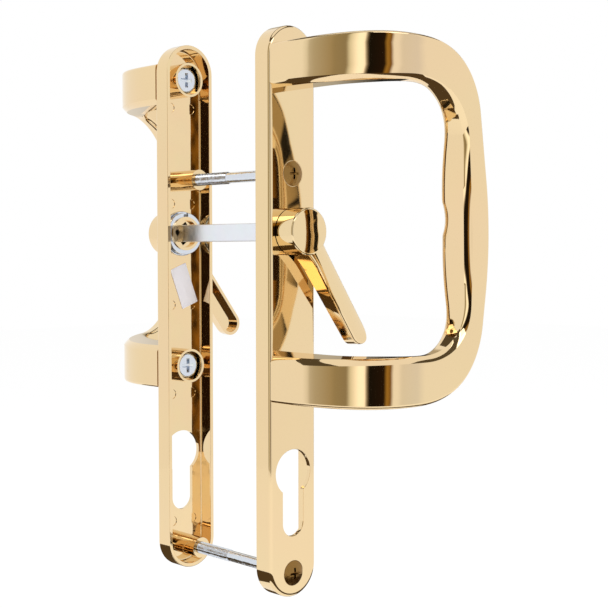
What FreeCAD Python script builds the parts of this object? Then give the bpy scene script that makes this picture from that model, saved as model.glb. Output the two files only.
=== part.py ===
import FreeCAD, Part
import os
import re

import Sketcher
from FreeCAD import Placement, Rotation, Vector

# Sliding patio door handle set: an outer and an inner half, one on each face of the door, joined by
# a square spindle and two through bolts. Each half is a hollow cast backplate, a bent D pull and a
# small lever that turns the lock. Millimetres, +Z up, Y along the spindle, origin on the spindle
# axis midway between the door faces. The outer half is on the -Y side.
#
# Each piece of a half is drawn in a frame whose origin is on the spindle axis at the backplate's
# front face, with the outside of the door on its -Y side. A level is a distance outwards from that
# face, so a level inside the backplate is negative. The inner half mirrors the outer one.

SIZES = [
    ("door_gap", 55.0, "door thickness, from rim to rim of the backplates"),
    ("plate_width", 23.4, "backplate width, ends half round"),
    ("plate_depth", 8.25, "backplate depth, rim to front face"),
    ("plate_web", 1.8, "thickness of the backplate's front"),
    ("plate_wall", 1.6, "thickness of the backplate's side wall"),
    ("plate_edge", 1.5, "round on the backplate's front edge"),
    ("plate_root", 0.6, "round between web and side wall"),
    ("plate_head", 14.2, "backplate's top above the upper pull screw"),
    ("plate_foot", 9.2, "backplate's lower end below the lower through bolt"),
    ("cylinder_drop", 92.0, "spindle to lock cylinder, a standard centre distance"),
    ("cylinder_round", 17.7, "diameter of the round part of the cylinder hole"),
    ("cylinder_slot", 10.5, "width of the cylinder hole's slot"),
    ("cylinder_reach", 19.4, "round part's centre to slot end's centre"),
    ("mark_diameter", 4.2, "ejector pin marks inside the backplate"),
    ("mark_depth", 0.25, "depth of the ejector pin marks"),
    ("mark_side", 5.2, "ejector pin marks, distance from the centre line"),
    ("mark_top", 52.3, "first pair of ejector pin marks above the spindle"),
    ("mark_second", 12.4, "second pair above the spindle"),
    ("mark_third", 29.9, "third pair below the spindle"),
    ("mark_fourth", 67.4, "fourth pair below the spindle"),
    ("mark_above_bolt", 9.8, "last pair above the lower through bolt"),
    ("upper_bolt_rise", 22.0, "upper through bolt above the spindle"),
    ("bolt_below_slot", 14.35, "lower through bolt below the cylinder hole's end"),
    ("bolt_head", 9.5, "through bolt head diameter"),
    ("bolt_dome", 1.0, "raised part of the through bolt's countersunk head"),
    ("bolt_cone", 2.6, "height of the head's cone"),
    ("bolt_shank", 4.3, "plain shank diameter of the through bolt"),
    ("bolt_thread", 4.9, "thread diameter of the through bolt"),
    ("bolt_plain", 38.0, "length from the front face to the start of the thread"),
    ("bolt_length", 66.0, "length of the through bolt from the front face"),
    ("thread_start", 0.4, "slope from the plain shank up to the thread"),
    ("thread_chamfer", 0.8, "chamfer at the end of every thread"),
    ("bolt_boss", 11.4, "boss round each countersink, behind the outer backplate"),
    ("bolt_boss_height", 2.2, "height of that boss above the web"),
    ("post_diameter", 8.4, "threaded post on the inner backplate"),
    ("post_beyond", 6.3, "post end beyond the rim, into the door"),
    ("post_foot", 1.0, "round at the foot of the post"),
    ("thread_gap", 0.05, "radial clearance of a thread in its hole"),
    ("head_gap", 0.05, "radial clearance of a countersunk head in its seat"),
    ("upper_screw_rise", 63.6, "upper pull screw above the spindle"),
    ("lower_screw_drop", 55.3, "lower pull screw below the spindle"),
    ("screw_head", 10.8, "pull screw head diameter"),
    ("screw_head_height", 2.8, "pull screw head height"),
    ("screw_head_round", 1.2, "round on the pull screw's head"),
    ("screw_thread", 4.9, "pull screw thread diameter"),
    ("screw_reach", 10.0, "pull screw end, beyond the backplate's front face"),
    ("screw_hole", 5.6, "clearance hole for the pull screw"),
    ("screw_room", 1.0, "threaded hole beyond the end of the pull screw"),
    ("cup_outer", 14.0, "cup round the pull screw head"),
    ("cup_inner", 12.1, "inside of that cup"),
    ("cup_seat", 1.5, "seat under the pull screw head, above the web"),
    ("cup_setback", 0.3, "cup's edge below the rim"),
    ("pull_near", 11.5, "pull's straight side, distance from the centre line"),
    ("pull_far", 5.0, "pull foot's other side, distance from the centre line"),
    ("pull_standoff", 57.5, "outer face of the pull above the backplate"),
    ("pull_bar", 14.0, "thickness of the grip in the middle"),
    ("pull_arm", 10.0, "thickness of the pull where arm and grip meet"),
    ("pull_bend", 49.0, "outer radius of the pull's bend away from the door"),
    ("slope_start", 23.5, "behind the arm, where the slope leaves the foot, above the backplate"),
    ("slope_end", 16.2, "where that slope reaches the arm's back, beside the centre line"),
    ("foot_round", 40.0, "round between foot and slope"),
    ("back_round", 9.0, "round between slope and the arm's back"),
    ("pull_reach", 48.4, "outermost corner of the pull before its side is rounded"),
    ("pull_crown", 2.3, "that corner, below the spindle"),
    ("grip_lean_top", 9.5, "how much the grip's outer side leans in at the top"),
    ("grip_lean_foot", 8.4, "how much it leans in at the bottom"),
    ("grip_width_top", 15.0, "outermost corner to the grip's inner side at the top"),
    ("grip_width_foot", 13.4, "outermost corner to the grip's inner side at the bottom"),
    ("upper_arm_top", 69.9, "upper arm's top at its foot"),
    ("upper_arm_bottom", 53.4, "upper arm's underside at its foot"),
    ("upper_arm_fall", 8.6, "fall of the upper arm's bowed top, foot to corner"),
    ("upper_arm_bow", 78.0, "radius of the upper arm's bowed top"),
    ("upper_arm_slope", 1.1, "rise of its underside, foot to grip"),
    ("lower_arm_top", 46.9, "lower arm's top at its foot, below the spindle"),
    ("lower_arm_bottom", 64.3, "lower arm's underside at its foot, below the spindle"),
    ("lower_arm_lift", 6.8, "rise of the lower arm's bowed underside, foot to corner"),
    ("lower_arm_bow", 135.0, "radius of the lower arm's bowed underside"),
    ("lower_arm_slope", 2.7, "rise of its top, foot to grip"),
    ("crown_round", 149.0, "radius of the bowed outer side of the grip"),
    ("corner_upper", 30.0, "upper outer corner of the D"),
    ("corner_lower", 33.0, "lower outer corner of the D"),
    ("corner_inner_upper", 24.0, "upper inner corner of the D"),
    ("corner_inner_lower", 19.0, "lower inner corner of the D"),
    ("pull_edge", 1.5, "round along the pull's outer edges"),
    ("pull_inner_edge", 3.0, "round along the pull's inner edges"),
    ("belly_top", 13.0, "top of the grip's thick middle above the spindle"),
    ("belly_foot", 7.0, "foot of the thick middle below the spindle"),
    ("belly_round", 115.0, "radius of the swell from the middle to the arms"),
    ("belly_hollow", 57.5, "radius of the hollow between that swell and the arm"),
    ("waist_round", 14.0, "radius of the short hollow between the fingers"),
    ("waist_depth", 1.4, "depth of the short hollow"),
    ("waist_rise", 4.5, "short hollow above the spindle"),
    ("lever_gap", 0.3, "running gap between lever and backplate"),
    ("lever_boss", 18.0, "lever's round boss"),
    ("lever_height", 10.0, "boss's face above the backplate"),
    ("lever_edge", 1.0, "round on the boss's face"),
    ("lever_length", 49.0, "spindle to the centre of the lever's round tip"),
    ("lever_tip", 5.1, "radius of the lever's tip at its back"),
    ("lever_taper", 8.0, "draft of the lever arm's sides, degrees"),
    ("lever_tip_height", 6.9, "lever arm's front face at the tip, above the backplate"),
    ("lever_back", 1.5, "lever arm's back above the backplate"),
    ("lever_lip", 1.3, "rim round the hollow in the lever's back"),
    ("lever_hollow", 2.9, "depth of the hollow in the lever's back"),
    ("lever_rest", 37.0, "lever's angle from straight down, degrees"),
    ("neck_diameter", 14.0, "lever's neck through the backplate"),
    ("neck_gap", 0.08, "radial clearance of the neck in the backplate"),
    ("neck_end", 5.5, "neck's end behind the front face"),
    ("neck_recess", 11.6, "recess in the neck's end"),
    ("recess_depth", 1.6, "depth of that recess"),
    ("washer_diameter", 18.6, "washer on the lever's neck"),
    ("washer_height", 0.9, "washer thickness"),
    ("spring_diameter", 17.0, "disc spring on the lever's neck"),
    ("spring_sheet", 0.5, "thickness of the disc spring's sheet"),
    ("spring_rise", 0.4, "dish of the disc spring"),
    ("spring_gap", 0.1, "play between disc spring and retaining ring"),
    ("ring_diameter", 17.5, "retaining ring on the lever's neck"),
    ("ring_height", 1.2, "retaining ring thickness"),
    ("ring_groove", 0.7, "depth of the retaining ring's groove"),
    ("ring_gap", 0.05, "clearance of the retaining ring in its groove"),
    ("spindle_side", 7.0, "square spindle"),
    ("spindle_gap", 0.05, "clearance of the spindle in the lever, each side"),
    ("spindle_depth", 5.0, "spindle end beyond the backplate's front face"),
    ("spindle_edge", 0.5, "chamfer on the spindle's ends"),
    ("label_width", 8.5, "blank label inside the inner backplate"),
    ("label_height", 17.6, "length of the label"),
    ("label_sheet", 0.2, "thickness of the label"),
    ("label_side", 1.3, "label's centre beside the centre line"),
    ("label_drop", 22.0, "label's centre below the spindle"),
    ("label_turn", 21.0, "label's tilt, degrees"),
    ("cross_span", 0.55, "driver recess, share of the head's diameter"),
    ("cross_blade", 1.1, "driver recess, width of a blade"),
    ("cross_depth", 1.7, "driver recess, depth"),
]
ALIASES = {alias for alias, value, note in SIZES}
FRONT_FACE = "door_gap / 2 + plate_depth"
PLATE_TOP = "upper_screw_rise + plate_head"
LOWER_BOLT = "cylinder_drop + cylinder_reach + cylinder_slot / 2 + bolt_below_slot"
GRIP_BACK = "pull_standoff - pull_bar"
ARM_BACK = "pull_standoff - pull_arm"
FULL_TURN = 360
CUT_PAST = 1  # mm that a cutting outline runs past the faces it opens

doc = FreeCAD.newDocument("patio_door_handle")
sheet = doc.addObject("Spreadsheet::Sheet", "sizes")
parts = []


def fill_sheet():
    for row, (alias, value, note) in enumerate(SIZES, start=1):
        sheet.set(f"A{row}", note)
        sheet.set(f"B{row}", str(value))
        sheet.setAlias(f"B{row}", alias)
    doc.recompute()


def bound(text):
    """The same sum with every size written as a cell of the sheet."""
    return re.sub(r"[a-z][a-z_]+", lambda word: "sizes." + word[0] if word[0] in ALIASES else word[0], text)


def number(text):
    return float(sheet.evalExpression(bound(text)))


class Outline:
    """A sketch on one of a body's own planes, held by sums over the sheet."""

    def __init__(self, body, plane, level="0"):
        self.sketch = body.newObject("Sketcher::SketchObject", "outline")
        origin = next(item for item in body.Origin.OriginFeatures if item.Role == plane)
        self.sketch.AttachmentSupport = [(origin, "")]
        self.sketch.MapMode = "FlatFace"
        self.sketch.setExpression("AttachmentOffset.Base.z", bound(level))

    def turned_back(self, angle):
        """Turns the outline on its plane, clockwise as seen from the plane's front."""
        offset = self.sketch.AttachmentOffset
        offset.Rotation = Rotation(Vector(0, 0, -1), number(angle))
        self.sketch.AttachmentOffset = offset
        self.sketch.setExpression("AttachmentOffset.Rotation.Angle", bound(angle))
        return self

    def hold(self, text, kind, *where):
        index = self.sketch.addConstraint(Sketcher.Constraint(kind, *where, number(text)))
        self.sketch.setExpression(f"Constraints[{index}]", bound(text))

    def pin(self, item, point, across, up):
        self.hold(across, "DistanceX", -1, 1, item, point)
        self.hold(up, "DistanceY", -1, 1, item, point)

    def circle(self, diameter, across="0", up="0"):
        centre = Vector(number(across), number(up), 0)
        item = self.sketch.addGeometry(Part.Circle(centre, Vector(0, 0, 1), number(diameter) / 2))
        self.hold(diameter, "Diameter", item)
        self.pin(item, 3, across, up)
        return self

    def path(self, *corners):
        """A closed outline. A corner is (across, up), with a radius if an arc leads to the next.

        A positive radius bulges to the right of the way along the outline, a negative one to the left.
        """
        spots = [Vector(number(corner[0]), number(corner[1]), 0) for corner in corners]
        items = []
        for index, corner in enumerate(corners):
            start, end = spots[index], spots[(index + 1) % len(spots)]
            if len(corner) == 2:
                edge = Part.LineSegment(start, end)
            else:
                edge = self.arc(start, end, number(corner[2]))
            items.append(self.sketch.addGeometry(edge))
        for index, corner in enumerate(corners):
            before = corners[index - 1]
            here_point = 1 if len(corner) == 2 or number(corner[2]) > 0 else 2
            before_point = 2 if len(before) == 2 or number(before[2]) > 0 else 1
            self.sketch.addConstraint(
                Sketcher.Constraint("Coincident", items[index - 1], before_point, items[index], here_point))
            self.pin(items[index], here_point, corner[0], corner[1])
        for index, corner in enumerate(corners):
            if len(corner) == 3:
                self.hold(corner[2].lstrip("-"), "Radius", items[index])
        return self

    def square(self, side):
        low, high = f"-({side}) / 2", f"({side}) / 2"
        return self.path((low, low), (high, low), (high, high), (low, high))

    @staticmethod
    def arc(start, end, radius):
        """Arc from start to end, run anticlockwise when the radius is positive."""
        first, last = (start, end) if radius > 0 else (end, start)
        chord = last - first
        rise = (radius ** 2 - chord.Length ** 2 / 4) ** 0.5
        side = Vector(-chord.y, chord.x, 0).normalize()
        centre = (first + last) * 0.5 + side * rise
        circle = Part.Circle(centre, Vector(0, 0, 1), abs(radius))
        return Part.ArcOfCircle(circle, circle.parameter(first), circle.parameter(last))

    def slot(self, width, top, bottom):
        """An upright slot with half round ends, from the top end's centre to the bottom end's."""
        half = number(width) / 2
        high, low = number(top), number(bottom)
        up = Vector(0, 0, 1)
        turn = 3.141592653589793
        items = [
            self.sketch.addGeometry(Part.ArcOfCircle(Part.Circle(Vector(0, high, 0), up, half), 0, turn)),
            self.sketch.addGeometry(Part.LineSegment(Vector(-half, high, 0), Vector(-half, low, 0))),
            self.sketch.addGeometry(Part.ArcOfCircle(Part.Circle(Vector(0, low, 0), up, half), turn, 2 * turn)),
            self.sketch.addGeometry(Part.LineSegment(Vector(half, low, 0), Vector(half, high, 0))),
        ]
        for index in range(4):
            self.sketch.addConstraint(Sketcher.Constraint("Tangent", items[index - 1], 2, items[index], 1))
        self.hold(f"({width}) / 2", "Radius", items[0])
        self.sketch.addConstraint(Sketcher.Constraint("Equal", items[0], items[2]))
        self.pin(items[0], 3, "0", top)
        self.pin(items[2], 3, "0", bottom)
        return self


def new_body(label, up="0"):
    """An empty body of the outer half, at the height of its own axis."""
    body = doc.addObject("PartDesign::Body", label)
    body.Label = label
    body.setExpression("Placement.Base.y", bound(f"-({FRONT_FACE})"))
    body.setExpression("Placement.Base.z", bound(up))
    parts.append(body)
    return body


def extrude(body, kind, outline, length, inwards=False, both_sides=False, taper=None):
    """A pad or pocket. From an upright sketch a pad grows outwards and a pocket cuts inwards."""
    before = 0 if body.Shape.isNull() else body.Shape.Volume
    feature = body.newObject("PartDesign::" + kind, kind.lower())
    feature.Profile = outline.sketch
    feature.setExpression("Length", bound(length))
    feature.Reversed = inwards if kind == "Pad" else not inwards
    if both_sides:
        feature.SideType = "Symmetric"
    if taper:
        feature.setExpression("TaperAngle", bound(taper))
    doc.recompute()
    grown = body.Shape.Volume - before
    if grown * (1 if kind == "Pad" else -1) <= 0:
        raise ValueError(f"{body.Label}: a {kind.lower()} of {length} changed nothing")


def pad(body, outline, length, **options):
    extrude(body, "Pad", outline, length, **options)


def pocket(body, outline, length, inwards=True, **options):
    extrude(body, "Pocket", outline, length, inwards=inwards, **options)


def revolve(body, *corners):
    """A turned piece: corners are (radius, depth behind the front face)."""
    outline = Outline(body, "XY_Plane").path(*corners)
    feature = body.newObject("PartDesign::Revolution", "revolution")
    feature.Profile = outline.sketch
    feature.ReferenceAxis = (outline.sketch, ["V_Axis"])
    feature.Angle = FULL_TURN
    doc.recompute()


def dress(body, kind, size, chosen):
    """A fillet or chamfer on the edges for which chosen(edge, midpoint) is true."""
    tip = body.Tip
    names = []
    for index, edge in enumerate(tip.Shape.Edges, start=1):
        middle = edge.valueAt((edge.FirstParameter + edge.LastParameter) / 2)
        if chosen(edge, middle):
            names.append(f"Edge{index}")
    if not names:
        raise ValueError(f"{body.Label}: no edge for a {kind.lower()} of {size}")
    feature = body.newObject("PartDesign::" + kind, kind.lower())
    feature.Base = (tip, names)
    feature.setExpression("Radius" if kind == "Fillet" else "Size", bound(size))
    doc.recompute()
    if not feature.isValid():
        raise RuntimeError(f"{body.Label}: {kind.lower()} of {size} failed on {names}")


def groove(body, plane, axis, *corners):
    """A turned cut: the outline's corners, spun round one of its own lines or axes."""
    before = body.Shape.Volume
    outline = Outline(body, plane).path(*corners)
    feature = body.newObject("PartDesign::Groove", "groove")
    feature.Profile = outline.sketch
    feature.ReferenceAxis = (outline.sketch, [axis])
    feature.Angle = FULL_TURN
    doc.recompute()
    if body.Shape.Volume >= before:
        raise ValueError(f"{body.Label}: a groove cut nothing")


def near(value, target, margin=0.01):
    return abs(value - target) < margin


def on_circle(edge, diameter):
    """True for an edge that is a circle of the named diameter."""
    return edge.Curve.TypeId == "Part::GeomCircle" and near(edge.Curve.Radius, number(diameter) / 2)


def along(edge, axis):
    """True for an edge that sets out along the axis."""
    return near(abs(getattr(edge.tangentAt(edge.FirstParameter), axis)), 1, 0.00001)


def upright(edge):
    """True for a straight edge that runs across the door face's depth."""
    return edge.Curve.TypeId == "Part::GeomLine" and along(edge, "y")


def cross(body, head, level):
    """A cross recess for a driver, cut from the given level."""
    arm = f"({head}) * cross_span / 2"
    blade = "cross_blade / 2"
    corners = []
    for across, up in ((1, 1), (-1, 1), (-1, -1), (1, -1)):
        side, rise = f"{across} * ", f"{up} * "
        long_first = [(side + arm, rise + blade), (side + blade, rise + blade), (side + blade, rise + arm)]
        corners += long_first if across * up > 0 else long_first[::-1]
    return Outline(body, "XZ_Plane", level).path(*corners)


def plate_shell(label):
    """The hollow backplate with what both halves share."""
    body = new_body(label)
    top = PLATE_TOP + " - plate_width / 2"
    bottom = f"plate_width / 2 - plate_foot - ({LOWER_BOLT})"
    pad(body, Outline(body, "XZ_Plane").slot("plate_width", top, bottom), "plate_depth", inwards=True)
    dress(body, "Fillet", "plate_edge", lambda edge, middle: near(middle.y, 0))
    cavity = Outline(body, "XZ_Plane", "-plate_depth").slot("plate_width - 2 * plate_wall", top, bottom)
    pocket(body, cavity, "plate_depth - plate_web", inwards=False)
    floor = number("plate_web")
    dress(body, "Fillet", "plate_root", lambda edge, middle: near(middle.y, floor))

    for up in ("upper_screw_rise", "-lower_screw_drop"):
        height = "plate_depth - plate_web - cup_setback"
        pad(body, Outline(body, "XZ_Plane", "-plate_web").circle("cup_outer", up=up), height, inwards=True)
        edge = Outline(body, "XZ_Plane", "cup_setback - plate_depth").circle("cup_inner", up=up)
        pocket(body, edge, height + " - cup_seat", inwards=False)
        pocket(body, Outline(body, "XZ_Plane").circle("screw_hole", up=up), "plate_depth")

    neck_hole = Outline(body, "XZ_Plane").circle("neck_diameter + 2 * neck_gap")
    pocket(body, neck_hole, "plate_depth")
    cylinder = Outline(body, "XZ_Plane").circle("cylinder_round", up="-cylinder_drop")
    pocket(body, cylinder, "plate_depth")
    slot = Outline(body, "XZ_Plane").slot("cylinder_slot", "-cylinder_drop", "-cylinder_drop - cylinder_reach")
    pocket(body, slot, "plate_depth")
    return body


def bolt_holes(body):
    """Countersunk holes for the through bolt heads, with a boss behind each."""
    for up in ("upper_bolt_rise", f"-({LOWER_BOLT})"):
        boss = Outline(body, "XZ_Plane", "-plate_web").circle("bolt_boss", up=up)
        pad(body, boss, "bolt_boss_height", inwards=True)
        mouth = up + " + bolt_head / 2 + head_gap"
        bore = up + " + bolt_shank / 2 + head_gap"
        axis_line = "Edge6"
        groove(
            body, "YZ_Plane", axis_line,
            (f"-{CUT_PAST}", up),
            (f"-{CUT_PAST}", mouth),
            ("0", mouth),
            ("bolt_cone", bore),
            ("plate_depth", bore),
            ("plate_depth", up),
        )


def bolt_posts(body):
    """Threaded posts that take the through bolts, open towards the other half."""
    reach = "plate_depth - plate_web + post_beyond"
    for up in ("upper_bolt_rise", f"-({LOWER_BOLT})"):
        pad(body, Outline(body, "XZ_Plane", "-plate_web").circle("post_diameter", up=up), reach, inwards=True)
    floor = number("plate_web")
    dress(body, "Fillet", "post_foot",
          lambda edge, middle: near(middle.y, floor) and on_circle(edge, "post_diameter"))
    for up in ("upper_bolt_rise", f"-({LOWER_BOLT})"):
        bore = Outline(body, "XZ_Plane", "-plate_depth - post_beyond")
        bore.circle("bolt_thread + 2 * thread_gap", up=up)
        pocket(body, bore, reach, inwards=False)


def ejector_marks(body):
    """Pairs of shallow round marks on the inside of the web."""
    for up in ("mark_top", "mark_second", "-mark_third", "-mark_fourth", f"mark_above_bolt - ({LOWER_BOLT})"):
        marks = Outline(body, "XZ_Plane", "-plate_web")
        marks.circle("mark_diameter", "-mark_side", up)
        marks.circle("mark_diameter", "mark_side", up)
        pocket(body, marks, "mark_depth", inwards=False)


def make_backplates():
    outer = plate_shell("outer_backplate")
    bolt_holes(outer)
    ejector_marks(outer)
    inner = plate_shell("inner_backplate")
    bolt_posts(inner)
    ejector_marks(inner)
    inner.Placement = Placement(Vector(0, 0, 0), Rotation(Vector(0, 0, 1), 180))
    inner.setExpression("Placement.Base.y", bound(FRONT_FACE))


def pull_front(body):
    """The D seen from the front: outer outline, its rounded corners, and the finger opening."""
    side = "-pull_near"
    upper_corner, lower_corner = "upper_arm_top - upper_arm_fall", "lower_arm_lift - lower_arm_bottom"
    outline = Outline(body, "XZ_Plane").path(
        (side, "upper_arm_top"),
        (side, "-lower_arm_bottom", "lower_arm_bow"),
        ("pull_reach - grip_lean_foot", lower_corner),
        ("pull_reach", "-pull_crown"),
        ("pull_reach - grip_lean_top", upper_corner, "upper_arm_bow"),
    )
    pad(body, outline, "pull_standoff")
    round_upright(body, "crown_round", "pull_reach", "-pull_crown")
    round_upright(body, "corner_upper", "pull_reach - grip_lean_top", upper_corner)
    round_upright(body, "corner_lower", "pull_reach - grip_lean_foot", lower_corner)

    upper = ("pull_reach - grip_width_top", "upper_arm_bottom + upper_arm_slope")
    lower = ("pull_reach - grip_width_foot", "lower_arm_slope - lower_arm_top")
    opening = Outline(body, "XZ_Plane").path(
        (side, "upper_arm_bottom"), (side, "-lower_arm_top"), lower, upper)
    pocket(body, opening, "pull_standoff", inwards=False)
    round_upright(body, "corner_inner_upper", *upper)
    round_upright(body, "corner_inner_lower", *lower)


def round_upright(body, size, across, up):
    """Rounds the D's corner at the given place."""
    x, z = number(across), number(up)
    dress(body, "Fillet", size, lambda edge, middle: upright(edge) and near(middle.x, x) and near(middle.z, z))


def pull_bends(body):
    """The D seen from above: bent away from the door, with room for the fingers behind it."""
    start = "-(pull_standoff - pull_bend)"
    outside = Outline(body, "XY_Plane").path(
        ("-pull_near", start, "pull_bend"),
        ("pull_bend - pull_near", "-pull_standoff"),
        ("pull_bend - pull_near", f"-pull_standoff - {CUT_PAST}"),
        (f"-pull_near - {CUT_PAST}", f"-pull_standoff - {CUT_PAST}"),
        (f"-pull_near - {CUT_PAST}", start),
    )
    pocket(body, outside, "2 * (upper_arm_top + lower_arm_bottom)", both_sides=True)
    top, foot = belly(body)
    for level, inwards in ((top, False), (f"-({foot})", True)):
        inside = Outline(body, "XY_Plane", level).path(
            ("pull_far", f"{CUT_PAST}"),
            ("pull_far", "-slope_start"),
            ("slope_end", f"-({ARM_BACK})"),
            (f"pull_reach + {CUT_PAST}", f"-({ARM_BACK})"),
            (f"pull_reach + {CUT_PAST}", f"{CUT_PAST}"),
        )
        pocket(body, inside, "upper_arm_top + lower_arm_bottom", inwards=inwards)
    for size, across, level in (("foot_round", "pull_far", "slope_start"), ("back_round", "slope_end", ARM_BACK)):
        x, y = number(across), -number(level)
        dress(body, "Fillet", size, lambda edge, middle: near(middle.x, x) and near(middle.y, y))


def belly(body):
    """Cuts the grip's back, thick in the middle and swept forward to the arms; returns where it ends."""
    swell = "(pull_bar - pull_arm)"
    radii = "(belly_round + belly_hollow)"
    length = f"sqrt({swell} * (2 * {radii} - {swell}))"
    turn_level = f"-({GRIP_BACK}) - {swell} * belly_round / {radii}"
    turn_at = f"{length} * belly_round / {radii}"
    top, foot = f"belly_top + {length}", f"belly_foot + {length}"
    profile = Outline(body, "YZ_Plane").path(
        (f"{CUT_PAST}", top),
        (f"-({ARM_BACK})", top, "belly_hollow"),
        (turn_level, f"belly_top + {turn_at}", "-belly_round"),
        (f"-({GRIP_BACK})", "belly_top"),
        (f"-({GRIP_BACK})", "-belly_foot", "-belly_round"),
        (turn_level, f"-belly_foot - {turn_at}", "belly_hollow"),
        (f"-({ARM_BACK})", f"-({foot})"),
        (f"{CUT_PAST}", f"-({foot})"),
    )
    pocket(body, profile, "3 * pull_reach", both_sides=True)
    return top, foot


def behind_front(spot):
    """How far a place lies behind the pull's outer bent surface."""
    bend = number("pull_bend")
    x = spot.x - number("pull_bend - pull_near")
    y = spot.y + number("pull_standoff - pull_bend")
    if x < 0 and y < 0:
        return bend - (x ** 2 + y ** 2) ** 0.5
    return bend + min(x, y)


def at_front(edge, middle):
    """True for the edges that border the pull's outer bent surface."""
    return near(behind_front(middle), 0) and not near(middle.y, 0) and not along(edge, "z")


def at_back(edge, middle):
    """True for the edges that border the pull's hollow side."""
    if near(middle.y, 0) or along(edge, "x") or along(edge, "z"):
        return False
    if upright(edge):
        return near(middle.x, number("pull_far"))
    return behind_front(middle) > number("2 * pull_edge")


def make_pulls():
    body = new_body("outer_pull")
    pull_front(body)
    pull_bends(body)
    dress(body, "Fillet", "pull_edge", at_front)
    dress(body, "Fillet", "pull_inner_edge", at_back)
    centre = f"-({GRIP_BACK}) + waist_round - waist_depth"
    waist = Outline(body, "YZ_Plane", "pull_reach").circle("2 * waist_round", centre, "waist_rise")
    pocket(body, waist, "grip_width_top + grip_lean_top")
    for up in ("upper_screw_rise", "-lower_screw_drop"):
        hole = Outline(body, "XZ_Plane").circle("screw_thread + 2 * thread_gap", up=up)
        pocket(body, hole, "screw_reach + screw_room", inwards=False)
    mirror("inner_pull", body)


def mirror(label, source):
    """The same piece on the other half."""
    piece = doc.addObject("Part::Mirroring", label)
    piece.Label = label
    piece.Source = source
    piece.Normal = Vector(0, 1, 0)
    parts.append(piece)
    doc.recompute()


def make_levers():
    """The lever is drawn pointing straight down and turned to where it rests."""
    body = new_body("outer_lever")
    boss = Outline(body, "XZ_Plane", "lever_gap").circle("lever_boss")
    pad(body, boss, "lever_height - lever_gap")
    arm = Outline(body, "XZ_Plane", "lever_back").slot("2 * lever_tip", "0", "-lever_length")
    pad(body, arm, "lever_height - lever_back", taper="-lever_taper")
    fold, end = "-lever_boss / 3", "-lever_length - 2 * lever_tip"
    front = Outline(body, "YZ_Plane").path(
        ("-lever_height", fold),
        (f"-lever_height - {CUT_PAST}", fold),
        (f"-lever_height - {CUT_PAST}", end),
        ("-lever_tip_height", end),
    )
    pocket(body, front, "2 * lever_boss", both_sides=True)
    top, start = number("lever_height"), number(fold)
    fall = number("lever_height - lever_tip_height") / (start - number(end))

    def on_front(edge, middle):
        level = top - max(0, start - middle.z) * fall
        return near(middle.y, -level, 0.02) and not near(middle.z, start, 0.001)

    dress(body, "Fillet", "lever_edge", on_front)
    hollow = Outline(body, "XZ_Plane", "lever_back").slot(
        "2 * (lever_tip - lever_lip)", "-lever_boss / 2 - lever_tip", "-lever_length")
    pocket(body, hollow, "lever_hollow", inwards=False)

    neck = Outline(body, "XZ_Plane", "lever_gap").circle("neck_diameter")
    pad(body, neck, "lever_gap + neck_end", inwards=True)
    recess = Outline(body, "XZ_Plane", "-neck_end").circle("neck_recess")
    pocket(body, recess, "recess_depth", inwards=False)
    hole = Outline(body, "XZ_Plane", "-neck_end").turned_back("lever_rest")
    hole.square("spindle_side + 2 * spindle_gap")
    pocket(body, hole, "neck_end + spindle_depth + spindle_gap", inwards=False)
    groove_top = "plate_web + washer_height + spring_sheet + spring_rise + spring_gap"
    groove_end = groove_top + " + ring_height"
    groove_floor = "neck_diameter / 2 - ring_groove"
    outside = f"neck_diameter / 2 + {CUT_PAST}"
    groove(
        body, "XY_Plane", "V_Axis",
        (groove_floor, groove_top + " - ring_gap"),
        (outside, groove_top + " - ring_gap"),
        (outside, groove_end + " + ring_gap"),
        (groove_floor, groove_end + " + ring_gap"),
    )
    body.Placement = Placement(Vector(0, 0, 0), Rotation(Vector(0, -1, 0), number("lever_rest")))
    body.setExpression("Placement.Base.y", bound(f"-({FRONT_FACE})"))
    body.setExpression("Placement.Rotation.Angle", bound("lever_rest"))
    mirror("inner_lever", body)


def make_retention():
    """Washer, disc spring and retaining ring on the lever's neck, behind each backplate."""
    bore = "neck_diameter / 2 + neck_gap"
    washer = new_body("outer_lever_washer")
    floor = "plate_web"
    top = floor + " + washer_height"
    revolve(washer, (bore, floor), ("washer_diameter / 2", floor), ("washer_diameter / 2", top), (bore, top))
    mirror("inner_lever_washer", washer)

    spring = new_body("outer_lever_spring")
    rim = "spring_diameter / 2"
    revolve(spring, (rim, top), (rim, top + " + spring_sheet"),
            (bore, top + " + spring_sheet + spring_rise"), (bore, top + " + spring_rise"))
    mirror("inner_lever_spring", spring)

    ring = new_body("outer_lever_ring")
    seat = top + " + spring_sheet + spring_rise + spring_gap"
    hole = "neck_diameter / 2 - ring_groove + ring_gap"
    revolve(ring, (hole, seat), ("ring_diameter / 2", seat),
            ("ring_diameter / 2", seat + " + ring_height"), (hole, seat + " + ring_height"))
    mirror("inner_lever_ring", ring)


def make_spindle():
    body = doc.addObject("PartDesign::Body", "spindle")
    body.Label = "spindle"
    parts.append(body)
    profile = Outline(body, "XZ_Plane").square("spindle_side")
    pad(body, profile, "door_gap + 2 * (plate_depth + spindle_depth)", both_sides=True)
    end = number(FRONT_FACE + " + spindle_depth")
    dress(body, "Chamfer", "spindle_edge", lambda edge, middle: near(abs(middle.y), end))


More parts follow.
